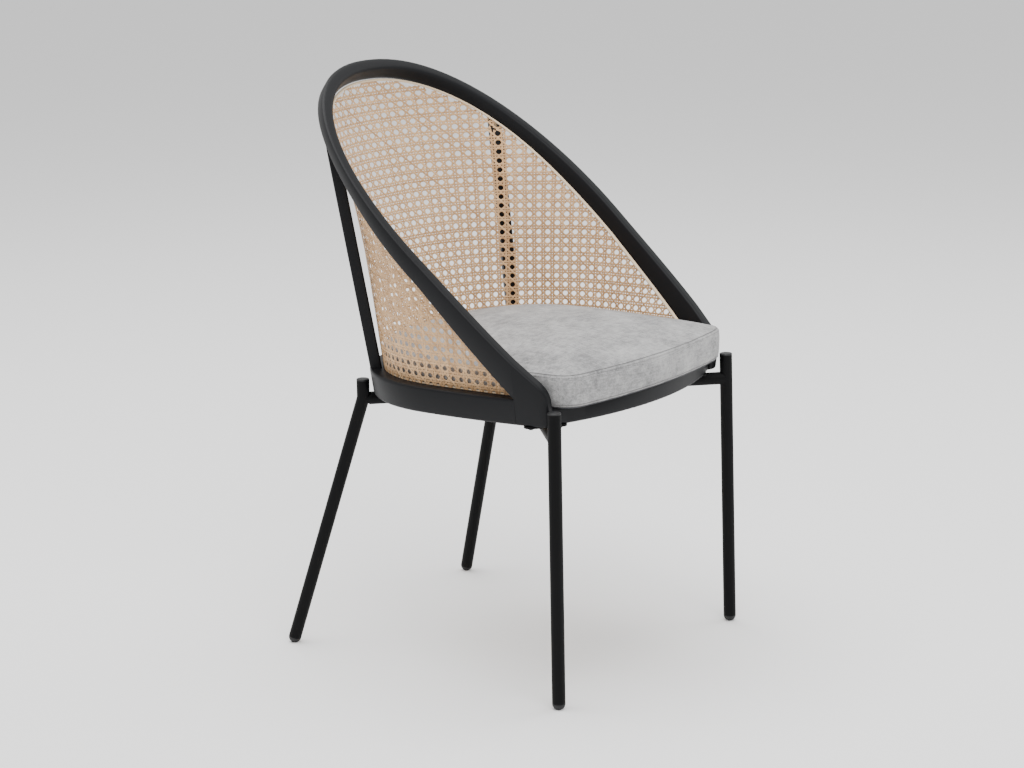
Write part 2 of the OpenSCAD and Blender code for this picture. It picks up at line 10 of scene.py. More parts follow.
import bpy
import numpy as np
from mathutils import Matrix, Vector
from mathutils.bvhtree import BVHTree

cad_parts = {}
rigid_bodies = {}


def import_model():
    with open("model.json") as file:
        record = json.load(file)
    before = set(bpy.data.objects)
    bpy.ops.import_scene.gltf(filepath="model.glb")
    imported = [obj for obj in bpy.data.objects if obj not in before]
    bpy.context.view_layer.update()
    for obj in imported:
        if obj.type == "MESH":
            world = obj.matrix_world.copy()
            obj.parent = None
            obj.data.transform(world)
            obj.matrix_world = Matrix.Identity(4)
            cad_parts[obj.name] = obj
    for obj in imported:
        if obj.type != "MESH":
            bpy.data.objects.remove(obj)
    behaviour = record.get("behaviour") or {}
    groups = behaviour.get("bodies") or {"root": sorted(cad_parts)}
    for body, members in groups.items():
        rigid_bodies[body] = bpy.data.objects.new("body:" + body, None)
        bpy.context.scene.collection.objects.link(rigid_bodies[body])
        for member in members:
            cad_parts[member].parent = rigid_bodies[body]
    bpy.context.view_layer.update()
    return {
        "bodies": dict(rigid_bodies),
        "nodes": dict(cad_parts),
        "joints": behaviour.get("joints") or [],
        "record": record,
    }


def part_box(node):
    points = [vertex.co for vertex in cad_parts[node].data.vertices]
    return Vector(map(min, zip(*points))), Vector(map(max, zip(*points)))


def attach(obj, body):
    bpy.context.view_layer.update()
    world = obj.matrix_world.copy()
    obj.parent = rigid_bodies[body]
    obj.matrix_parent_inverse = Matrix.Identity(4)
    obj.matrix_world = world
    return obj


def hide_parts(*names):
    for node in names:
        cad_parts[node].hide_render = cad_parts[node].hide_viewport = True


LOG = logging.getLogger("chair")
MM = 0.001
SEED = 7
MIX_A, MIX_B, MIX_RESULT = 6, 7, 2  # the Mix node's colour sockets

Colour = tuple[float, float, float]
Triple = tuple[float, float, float]


# ---------- shader expressions ----------


class Num:
    """A number in a node tree, so that shader maths reads as Python."""

    def __init__(self, tree: bpy.types.NodeTree, socket: bpy.types.NodeSocket) -> None:
        """Keeps a node tree and one of its output sockets."""
        self.tree = tree
        self.socket = socket

    def _math(self, operation: str, a: "Num | float", b: "Num | float" = 0.0) -> "Num":
        """Adds one Math node.

        Args:
            operation: the node's operation.
            a: its first value.
            b: its second value.

        Returns:
            The node's result.
        """
        node = self.tree.nodes.new("ShaderNodeMath")
        node.operation = operation
        for place, value in enumerate((a, b)):
            value = value.socket if isinstance(value, Num) else value
            if isinstance(value, (int, float)):
                node.inputs[place].default_value = value
            else:
                self.tree.links.new(value, node.inputs[place])
        return Num(self.tree, node.outputs[0])

    def __add__(self, other: "Num | float") -> "Num":
        """Adds."""
        return self._math("ADD", self, other)

    def __sub__(self, other: "Num | float") -> "Num":
        """Subtracts."""
        return self._math("SUBTRACT", self, other)

    def __rsub__(self, other: "Num | float") -> "Num":
        """Subtracts from a plain value."""
        return self._math("SUBTRACT", other, self)

    def __mul__(self, other: "Num | float") -> "Num":
        """Multiplies."""
        return self._math("MULTIPLY", self, other)

    def sin(self) -> "Num":
        """Takes the sine."""
        return self._math("SINE", self)

    def abs(self) -> "Num":
        """Takes the absolute value."""
        return self._math("ABSOLUTE", self)

    def at_most(self, other: "Num | float") -> "Num":
        """Takes the smaller of the two."""
        return self._math("MINIMUM", self, other)

    def at_least(self, other: "Num | float") -> "Num":
        """Takes the larger of the two."""
        return self._math("MAXIMUM", self, other)

    __radd__ = __add__
    __rmul__ = __mul__


class Shade:
    """A material being built."""

    def __init__(self, name: str) -> None:
        """Starts a material.

        Args:
            name: the material's name.
        """
        self.material = bpy.data.materials.new(name)
        self.material.use_nodes = True
        self.tree = self.material.node_tree
        self.base = self.tree.nodes["Principled BSDF"]

    def node(self, kind: str, settings: dict[str, object] | None = None,
             **values: object) -> bpy.types.Node:
        """Adds a node.

        Args:
            kind: its type.
            settings: its properties, which are set first.
            values: its inputs by name, with _ for a space.

        Returns:
            The node.
        """
        node = self.tree.nodes.new(kind)
        for key, value in (settings or {}).items():
            setattr(node, key, value)
        for key, value in values.items():
            self.put(node, key.replace("_", " "), value)
        return node

    def put(self, node: bpy.types.Node, name: str, value: object) -> None:
        """Sets or links one input.

        Args:
            node: the node.
            name: its input.
            value: a value, a socket or a Num.
        """
        value = value.socket if isinstance(value, Num) else value
        if isinstance(value, bpy.types.NodeSocket):
            self.tree.links.new(value, node.inputs[name])
        else:
            node.inputs[name].default_value = value

    def set(self, **values: object) -> None:
        """Sets or links inputs of the surface, by name with _ for a space."""
        for key, value in values.items():
            self.put(self.base, key.replace("_", " "), value)

    def num(self, socket: bpy.types.NodeSocket) -> Num:
        """Wraps a socket for shader maths."""
        return Num(self.tree, socket)

    def place(self, scale: Triple = (1.0, 1.0, 1.0)) -> bpy.types.NodeSocket:
        """Gives object coordinates in metres, scaled."""
        coords = self.node("ShaderNodeTexCoord").outputs["Object"]
        return self.node("ShaderNodeMapping", Vector=coords, Scale=scale).outputs[0]

    def noise(self, per_metre: float, scale: Triple = (1.0, 1.0, 1.0), detail: float = 3.0,
              roughness: float = 0.5) -> Num:
        """Adds noise.

        Args:
            per_metre: features a metre.
            scale: how far each axis is squeezed.
            detail: how many finer layers it has.
            roughness: how strong those layers are.

        Returns:
            Noise from 0 to 1.
        """
        node = self.node("ShaderNodeTexNoise", Vector=self.place(scale), Scale=per_metre, Detail=detail,
                         Roughness=roughness)
        return self.num(node.outputs[0])

    def axes(self, vector: bpy.types.NodeSocket) -> tuple[Num, Num, Num]:
        """Splits a vector into x, y and z."""
        node = self.node("ShaderNodeSeparateXYZ", Vector=vector)
        return tuple(self.num(out) for out in node.outputs)

    def mix(self, factor: Num, a: Colour, b: Colour) -> bpy.types.NodeSocket:
        """Mixes two colours.

        Args:
            factor: how much of the second colour.
            a: the first colour.
            b: the second colour.

        Returns:
            The socket of the mixed colour.
        """
        node = self.node("ShaderNodeMix", {"data_type": "RGBA"})
        self.put(node, "Factor", factor)
        for place, colour in ((MIX_A, a), (MIX_B, b)):
            node.inputs[place].default_value = (*colour, 1.0)
        return node.outputs[MIX_RESULT]

    def bump(self, height: Num, depth: float, strength: float = 1.0) -> None:
        """Feeds a bump of a depth in metres to the surface."""
        node = self.node("ShaderNodeBump", Strength=strength, Distance=depth, Height=height)
        self.set(Normal=node.outputs[0])


@dataclass(frozen=True)
class Lacquer:
    """Satin lacquer over close-grained bent wood."""

    name: str = "black_lacquer"
    colour: Colour = (0.0038, 0.0041, 0.005)
    worn: Colour = (0.0062, 0.0066, 0.0078)
    roughness: float = 0.43
    shine: float = 0.14
    grain_per_metre: float = 260.0
    cloud_per_metre: float = 9.0
    coat: float = 0.06
    coat_roughness: float = 0.3
    grain_depth: float = 0.05 * MM
    grain_run: Triple = (1.0, 1.0, 0.12)
    cloud_spread: float = 0.08
    grain_spread: float = 0.05
    relief: float = 0.5

    def make(self) -> bpy.types.Material:
        """Builds the shader.

        Returns:
            The material.
        """
        s = Shade(self.name)
        grain = s.noise(self.grain_per_metre, self.grain_run, detail=4)
        cloud = s.noise(self.cloud_per_metre)
        roughness = self.roughness + cloud * self.cloud_spread + grain * self.grain_spread
        s.set(Base_Color=s.mix(cloud, self.colour, self.worn), Roughness=roughness)
        s.set(Specular_IOR_Level=self.shine, Coat_Weight=self.coat, Coat_Roughness=self.coat_roughness)
        s.bump(grain, self.grain_depth, self.relief)
        return s.material


@dataclass(frozen=True)
class PowderCoat:
    """Satin powder coat with a fine orange-peel skin."""

    name: str = "black_powder_coat"
    colour: Colour = (0.0028, 0.0028, 0.0031)
    roughness: float = 0.48
    shine: float = 0.1
    peel_per_metre: float = 700.0
    cloud_per_metre: float = 14.0
    peel_depth: float = 0.06 * MM
    spread: float = 0.1
    relief: float = 0.6

    def make(self) -> bpy.types.Material:
        """Builds the shader.

        Returns:
            The material.
        """
        s = Shade(self.name)
        peel = s.noise(self.peel_per_metre, detail=2)
        cloud = s.noise(self.cloud_per_metre)
        s.set(Base_Color=(*self.colour, 1.0), Roughness=self.roughness + cloud * self.spread)
        s.set(Specular_IOR_Level=self.shine)
        s.bump(peel, self.peel_depth, self.relief)
        return s.material


@dataclass(frozen=True)
class Strand:
    """Split cane or reed: pale, slightly glossy, streaked, and varied from strand to strand."""

    name: str
    light: Colour
    dark: Colour
    streaks: float = 900.0
    roughness: float = 0.42
    blotch_per_metre: float = 60.0
    shine: float = 0.4
    streak_depth: float = 0.12 * MM
    own_share: float = 0.5
    streak_share: float = 0.35
    blotch_share: float = 0.35
    lightening: float = 0.15
    spread: float = 0.2
    relief: float = 0.6

    def make(self) -> bpy.types.Material:
        """Builds the shader.

        Returns:
            The material.
        """
        s = Shade(self.name)
        own = s.num(s.node("ShaderNodeAttribute", {"attribute_name": "strand"}).outputs["Fac"])
        streak = s.noise(self.streaks, detail=4, roughness=0.7)
        blotch = s.noise(self.blotch_per_metre, detail=2)
        tone = own * self.own_share + streak * self.streak_share + blotch * self.blotch_share
        factor = (tone - self.lightening).at_most(1.0).at_least(0.0)
        s.set(Base_Color=s.mix(factor, self.light, self.dark))
        s.set(Roughness=self.roughness + streak * self.spread)
        s.set(Specular_IOR_Level=self.shine)
        s.bump(streak, self.streak_depth, self.relief)
        return s.material


@dataclass(frozen=True)
class SlubCloth:
    """Plain-woven upholstery cloth with uneven threads and a soft nap."""

    name: str = "seat_fabric"
    light: Colour = (0.45, 0.445, 0.44)
    dark: Colour = (0.14, 0.14, 0.143)
    thread: float = 1.1 * MM
    sheen: float = 0.2
    middle: float = 0.875
    contrast: float = 2.3
    share: float = 0.5
    drift_per_metre: float = 70.0
    slub_per_metre: float = 30.0
    heather_per_metre: float = 420.0
    cloud_per_metre: float = 16.0
    mottle_per_metre: float = 95.0
    depth: float = 0.35 * MM
    thread_drift: float = 2.4
    lean_across: float = 0.5
    lean_along: float = 0.6
    slub_run: float = 14.0
    slub_x_share: float = 0.3
    slub_y_share: float = 0.25
    heather_share: float = 0.35
    # how strongly the weave paints shade into the gaps between threads and lightens their crowns
    painted_weave_shade: float = 0.12
    cloud_share: float = 0.45
    mottle_share: float = 0.5
    roughness: float = 0.9
    shine: float = 0.25
    sheen_roughness: float = 0.45
    weave_relief: float = 0.7
    thread_relief: float = 0.3
    relief: float = 0.55

    def make(self) -> bpy.types.Material:
        """Builds the shader.

        Returns:
            The material.
        """
        s = Shade(self.name)
        x, y, z = s.axes(s.place())
        turn = math.pi / self.thread
        drift = s.noise(self.drift_per_metre, detail=2) * self.thread_drift
        across = ((x + z * self.lean_across) * turn + drift).sin().abs()
        along = ((y - z * self.lean_along) * turn + drift).sin().abs()
        weave = across * along
        slub_x = s.noise(self.slub_per_metre, (1.0, self.slub_run, self.slub_run), detail=4)
        slub_y = s.noise(self.slub_per_metre, (self.slub_run, 1.0, self.slub_run), detail=4)
        heather = s.noise(self.heather_per_metre, detail=3, roughness=0.7)
        cloud = s.noise(self.cloud_per_metre, detail=4)
        mottle = s.noise(self.mottle_per_metre, detail=4, roughness=0.65)
        slubs = slub_x * self.slub_x_share + slub_y * self.slub_y_share
        # uneven thread tone, with the weave subtracted as painted shade: crowns painted lighter, gaps
        # between threads painted darker
        threads_and_weave_shade = slubs + heather * self.heather_share - weave * self.painted_weave_shade
        clouds = threads_and_weave_shade + cloud * self.cloud_share + mottle * self.mottle_share
        tone = (clouds - self.middle) * self.contrast + self.share
        tone = tone.at_most(1.0).at_least(0.0)
        s.set(Base_Color=s.mix(tone, self.light, self.dark))
        s.set(Roughness=self.roughness, Specular_IOR_Level=self.shine)
        s.set(Sheen_Weight=self.sheen, Sheen_Roughness=self.sheen_roughness)
        fine = heather * self.thread_relief + slub_x * self.thread_relief
        s.bump(weave * self.weave_relief + fine, self.depth, self.relief)
        return s.material


@dataclass(frozen=True)
class Grained:
    """Bare wood, with rings drawn out along one axis."""

    name: str
    light: Colour
    dark: Colour
    stretch: Triple = (1.0, 0.08, 1.0)
    per_metre: float = 180.0
    depth: float = 0.15 * MM
    pore_ratio: float = 8.0
    pore_share: float = 0.5
    roughness: float = 0.55
    spread: float = 0.2
    relief: float = 0.5

    def make(self) -> bpy.types.Material:
        """Builds the shader.

        Returns:
            The material.
        """
        s = Shade(self.name)
        grain = s.noise(self.per_metre, self.stretch, detail=5, roughness=0.6)
        pores = s.noise(self.per_metre * self.pore_ratio, self.stretch, detail=2)
        s.set(Base_Color=s.mix(grain, self.light, self.dark))
        s.set(Roughness=self.roughness + grain * self.spread)
        s.bump(grain + pores * self.pore_share, self.depth, self.relief)
        return s.material


@dataclass(frozen=True)
class Moulded:
    """Moulded plastic or foam with a fine texture."""

    name: str
    colour: Colour
    roughness: float = 0.5
    per_metre: float = 1200.0
    depth: float = 0.05 * MM
    shaded: float = 0.8
    spread: float = 0.12
    relief: float = 0.6

    def make(self) -> bpy.types.Material:
        """Builds the shader.

        Returns:
            The material.
        """
        s = Shade(self.name)
        grain = s.noise(self.per_metre, detail=2)
        shade = tuple(c * self.shaded for c in self.colour)
        s.set(Base_Color=s.mix(grain, self.colour, shade))
        s.set(Roughness=self.roughness + grain * self.spread)
        s.bump(grain, self.depth, self.relief)
        return s.material


@dataclass(frozen=True)
class Metal:
    """Plated or turned metal with fine tool marks."""

    name: str
    colour: Colour
    roughness: float = 0.3
    metallic: float = 1.0
    marks_per_metre: float = 1500.0
    depth: float = 0.03 * MM
    marks_run: Triple = (1.0, 1.0, 6.0)
    spread: float = 0.15
    relief: float = 0.5

    def make(self) -> bpy.types.Material:
        """Builds the shader.

        Returns:
            The material.
        """
        s = Shade(self.name)
        marks = s.noise(self.marks_per_metre, self.marks_run, detail=2)
        s.set(Base_Color=(*self.colour, 1.0), Metallic=self.metallic)
        s.set(Roughness=self.roughness + marks * self.spread)
        s.bump(marks, self.depth, self.relief)
        return s.material


FINISHES = (
    Lacquer(),
    PowderCoat(),
    Strand("cane", (0.80, 0.53, 0.29), (0.33, 0.165, 0.065)),
    Strand("reed", (0.80, 0.64, 0.45), (0.56, 0.40, 0.24), 500.0),
    SlubCloth("seam_thread", (0.24, 0.238, 0.236), (0.10, 0.10, 0.102)),
    SlubCloth(),
    SlubCloth("base_fabric", (0.10, 0.10, 0.105), (0.05, 0.05, 0.055), 0.9 * MM, 0.1),
    Grained("plywood", (0.62, 0.46, 0.29), (0.47, 0.32, 0.18)),
    Grained("block_wood", (0.62, 0.43, 0.26), (0.48, 0.31, 0.17)),
    Grained("dowel_wood", (0.70, 0.54, 0.35), (0.58, 0.42, 0.25), (1.0, 1.0, 0.08)),
    Moulded("foam", (0.86, 0.80, 0.62), 0.9, 900.0, 0.5 * MM),
    Moulded("cap_plastic", (0.006, 0.006, 0.007), 0.45),
    Moulded("glide_plastic", (0.005, 0.005, 0.0055), 0.55),
    Metal("black_steel", (0.02, 0.02, 0.022), 0.4, 0.5),
    Metal("zinc_steel", (0.58, 0.58, 0.60), 0.32),
    Metal("brass", (0.72, 0.52, 0.24), 0.28),
)


class Finishes:
    """The chair's materials by the record's slot names."""

    def __init__(self) -> None:
        """Makes each material once."""
        self.by_slot = {finish.name: finish.make() for finish in FINISHES}

    def dress(self, piece: bpy.types.Object, slot: str) -> None:
        """Gives a piece the finish of one slot."""
        piece.data.materials.clear()
        piece.data.materials.append(self.by_slot[slot])


def add_mesh(name: str, points: np.ndarray | Sequence[Triple],
             faces: np.ndarray | Sequence[Sequence[int]]) -> bpy.types.Object:
    """Makes a smooth-shaded mesh object.

    Args:
        name: its name.
        points: its vertices in metres.
        faces: its faces, as vertex numbers.

    Returns:
        The object.
    """
    mesh = bpy.data.meshes.new(name)
    mesh.from_pydata([tuple(p) for p in points], [], [tuple(f) for f in faces])
    mesh.update()
    mesh.polygons.foreach_set("use_smooth", [True] * len(mesh.polygons))
    piece = bpy.data.objects.new(name, mesh)
    bpy.context.collection.objects.link(piece)
    return piece


# ---------- the rigid frame ----------


@dataclass
class RigidFrame:
    """Every CAD node that is shown as it is: wood, tubes, plates, caps, glides and fasteners."""

    frame: dict
    finishes: Finishes
    crease: float = math.radians(33)
    weld: float = 0.004 * MM
    remade: tuple[str, ...] = ("cane_panel", "seat_cover")

    def dress(self) -> None:
        """Gives each node its finish and smooth shading between its real edges."""
        slots = {entry["node"]: entry["material_slot"] for entry in self.frame["record"]["subparts"]}
        for name, node in self.frame["nodes"].items():
            if name in self.remade:
                continue
            self.finishes.dress(node, slots[name])
            self.smooth(node)

    def smooth(self, node: bpy.types.Object) -> None:
        """Shades a node smooth, with its edges kept.

        Args:
            node: the CAD object.
        """
        bpy.context.view_layer.objects.active = node
        if node.data.has_custom_normals:
            bpy.ops.mesh.customdata_custom_splitnormals_clear()
        node.data.polygons.foreach_set("use_smooth", [True] * len(node.data.polygons))
        merge = node.modifiers.new("merge", "WELD")
        merge.merge_threshold = self.weld
        edges = node.modifiers.new("edges", "EDGE_SPLIT")
        edges.split_angle = self.crease


# ---------- woven cane ----------


class Family(Enum):
    """The strand directions of six-way cane: the name and the run along the panel and up it."""

    UPRIGHT = ("uprights", 0.0, 1.0)
    LEVEL = ("levels", 1.0, 0.0)
    RISING = ("rising", 1.0, 1.0)
    FALLING = ("falling", 1.0, -1.0)


@dataclass
class CaneSurface:
    """The cane panel's mid surface, read off the CAD panel by rays from an upright axis inside it."""

    panel: bpy.types.Object
    centre_y: float = -30 * MM
    turns: int = 260
    levels: int = 90
    thickness: float = 1.4 * MM
    reach: float = math.radians(40)
    edge_gap: float = 1.2 * MM
    fewest_hits: int = 4
    measured_level: int = 6
    curved_hits: int = 12

    def __post_init__(self) -> None:
        """Samples the panel."""
        mesh = self.panel.data
        tree = BVHTree.FromPolygons([v.co for v in mesh.vertices], [p.vertices for p in mesh.polygons])
        low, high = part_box("cane_panel")
        self.z0, self.z1 = low[2], high[2]
        angles = np.linspace(-self.reach, math.pi + self.reach, self.turns)
        self.heights = np.linspace(self.z0 + MM, self.z1 - MM / 2, self.levels)
        radii = np.full((self.turns, self.levels), np.nan)
        for i, angle in enumerate(angles):
            way = Vector((math.cos(angle), math.sin(angle), 0))
            for j, z in enumerate(self.heights):
                hit = tree.ray_cast(Vector((0, self.centre_y, z)), way)
                if hit[0] is not None:
                    radii[i, j] = hit[3]
        keep = np.isfinite(radii).sum(axis=1) >= self.fewest_hits
        self.angles, radii = angles[keep], radii[keep]
        self.top = np.array([self.heights[np.isfinite(row)].max() for row in radii])
        self.radii = np.array([self._filled(row) for row in radii]) + self.thickness / 2
        base = self.radii[:, self.measured_level]
        xy = np.stack([base * np.cos(self.angles), base * np.sin(self.angles)], axis=1)
        steps = np.linalg.norm(np.diff(xy, axis=0), axis=1)
        self.along = np.concatenate([[0], np.cumsum(steps)])
        self.length = self.along[-1]

    def _filled(self, row: np.ndarray) -> np.ndarray:
        """Carries a column of radii on past the panel's top edge.

        Args:
            row: radii from the foot up, empty where there is no panel.

        Returns:
            The filled column.
        """
        good = np.isfinite(row)
        fit = np.polyfit(self.heights[good], row[good], 2 if good.sum() > self.curved_hits else 1)
        return np.where(good, row, np.polyval(fit, self.heights))

    def top_at(self, s: np.ndarray) -> np.ndarray:
        """Gives the panel's top height at distances along it."""
        return np.interp(s, self.along, self.top) - self.edge_gap

    def point(self, s: np.ndarray, z: np.ndarray, lift: np.ndarray) -> np.ndarray:
        """Finds points on the surface.

        Args:
            s: distances along the panel.
            z: heights above the floor.
            lift: how far each point is moved inwards, in metres.

        Returns:
            The points.
        """
        i = np.interp(s, self.along, np.arange(len(self.along)))
        j = np.interp(z, self.heights, np.arange(self.levels))
        i0 = np.clip(i.astype(int), 0, len(self.along) - 2)
        j0 = np.clip(j.astype(int), 0, self.levels - 2)
        u, v = i - i0, j - j0
        r = self.radii
        radius = ((r[i0, j0] * (1 - v) + r[i0, j0 + 1] * v) * (1 - u)
                  + (r[i0 + 1, j0] * (1 - v) + r[i0 + 1, j0 + 1] * v) * u) - lift
        angle = np.interp(s, self.along, self.angles)
        return np.stack([radius * np.cos(angle), self.centre_y + radius * np.sin(angle), z], axis=1)


@dataclass
class CaneWeave:
    """The panel woven strand by strand: pairs of uprights and levels, and two families of diagonals."""

    surface: CaneSurface
    finishes: Finishes
    pitch: float = 13.7 * MM
    pair_gap: float = 3.8 * MM
    strand_w: float = 2.7 * MM
    diagonal_w: float = 2.7 * MM
    strand_t: float = 0.45 * MM
    sway: float = 0.3 * MM
    step: float = 3.43 * MM
    place_error: float = 0.12 * MM
    wobble: float = 0.15 * MM
    wobble_run: float = 40 * MM
    shoulder: float = 0.6
    diagonal_stand: float = 0.9
    diagonal_swing: float = 0.5
    pieces: list[bpy.types.Object] = field(default_factory=list)

    def build(self) -> None:
        """Makes one object per family of strands."""
        rng = np.random.default_rng(SEED)
        for family in Family:
            points, faces, own = [], [], []
            for path, lift, width in self.strands(family, rng):
                self._ribbon(path, lift, width, rng.random(), points, faces, own)
            piece = add_mesh("cane_" + family.value[0], np.concatenate(points), np.concatenate(faces))
            tint = piece.data.attributes.new("strand", "FLOAT", "POINT")
            tint.data.foreach_set("value", np.concatenate(own))
            self.finishes.dress(piece, "cane")
            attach(piece, "root")
            self.pieces.append(piece)
            LOG.info("%s: %d faces", piece.name, len(piece.data.polygons))
        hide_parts("cane_panel")

    def strands(self, family: Family,
                rng: np.random.Generator) -> Iterator[tuple[np.ndarray, np.ndarray, float]]:
        """Lays out one family.

        Args:
            family: which family.
            rng: the source of random numbers.

        Yields:
            Each strand's points along and up the panel, its lift at each, and its width.
        """
        surface = self.surface
        length, rise = surface.length, surface.z1 - surface.z0
        _, ds, dz = family.value
        straight = ds * dz == 0
        if straight:
            reach = length if dz else rise
            lines = [(n * self.pitch + side * self.pair_gap / 2, n + (side > 0))
                     for n in range(1, int(reach / self.pitch) + 1) for side in (-1, 1)]
        else:
            first = -int(rise / self.pitch) - 1 if dz > 0 else 0
            last = int((length + (rise if dz < 0 else 0)) / self.pitch) + 1
            lines = [((n + 0.5) * self.pitch, n) for n in range(first, last)]
        run = length if family is Family.LEVEL else rise
        t = np.arange(0, run, self.step)
        for place, parity in lines:
            place = place + rng.normal(0, self.place_error)
            wobble = self.wobble * np.sin(t / self.wobble_run + rng.random() * math.tau)
            if family is Family.UPRIGHT:
                s, z = place + wobble, t
            elif family is Family.LEVEL:
                s, z = t, place + wobble
            else:
                s, z = place + t * dz + wobble, t
            wave = np.cos(math.pi * t / self.pitch + math.pi * parity)
            lift = self._lift(family, wave)
            yield from self._clipped(s + np.zeros_like(t), z + np.zeros_like(t), lift,
                                     self.strand_w if straight else self.diagonal_w)

    def _lift(self, family: Family, wave: np.ndarray) -> np.ndarray:
        """Finds how far a strand stands in from the mid surface.

        Args:
            family: the strand's family.
            wave: its over and under, from -1 to 1.

        Returns:
            The lift along its run, in metres.
        """
        if family is Family.UPRIGHT:
            return -self.sway * wave
        if family is Family.LEVEL:
            return self.sway * wave
        side = 1 if family is Family.RISING else -1
        return side * self.sway * (self.diagonal_stand + self.diagonal_swing * wave)

    def _clipped(self, s: np.ndarray, z: np.ndarray, lift: np.ndarray,
                 width: float) -> Iterator[tuple[np.ndarray, np.ndarray, float]]:
        """Cuts a strand where it leaves the panel.

        Args:
            s: distances along the panel.
            z: heights above its foot.
            lift: the lift at each point.
            width: the strand's width.

        Yields:
            Each stretch that is on the panel.
        """
        inside = (s > 0) & (s < self.surface.length) & (z + self.surface.z0 < self.surface.top_at(s))
        edges = np.flatnonzero(np.diff(np.concatenate([[0], inside.astype(int), [0]])))
        for a, b in zip(edges[::2], edges[1::2]):
            if b - a >= 2:
                yield np.stack([s[a:b], z[a:b]], axis=1), lift[a:b], width

    def _ribbon(self, path: np.ndarray, lift: np.ndarray, width: float, tint: float,
                points: list[np.ndarray], faces: list[np.ndarray], own: list[np.ndarray]) -> None:
        """Adds one flat strand with rounded shoulders to the lists.

        Args:
            path: its points along and up the panel.
            lift: its lift at each point.
            width: its width.
            tint: its own shade, from 0 to 1.
            points: the vertices so far.
            faces: the faces so far.
            own: the shade of each vertex so far.
        """
        z = path[:, 1] + self.surface.z0
        mid = self.surface.point(path[:, 0], z, lift)
        over = self.surface.point(path[:, 0], z, lift + MM)
        inward = over - mid
        inward /= np.linalg.norm(inward, axis=1, keepdims=True)
        run = np.gradient(mid, axis=0)
        side = np.cross(run, inward)
        side /= np.linalg.norm(side, axis=1, keepdims=True)
        w, t = width / 2, self.strand_t / 2
        flat = w * self.shoulder
        section = ((-w, 0), (-flat, t), (flat, t), (w, 0), (flat, -t), (-flat, -t))
        rings = np.stack([mid + side * a + inward * b for a, b in section], axis=1)
        n, m = len(mid), len(section)
        start = sum(len(p) for p in points)
        i, k = np.meshgrid(np.arange(n - 1), np.arange(m), indexing="ij")
        nxt = (k + 1) % m
        quads = np.stack([i * m + k, (i + 1) * m + k, (i + 1) * m + nxt, i * m + nxt], axis=-1)
        points.append(rings.reshape(-1, 3))
        faces.append(quads.reshape(-1, 4) + start)
        own.append(np.full(n * m, tint))


# ---------- cushion ----------


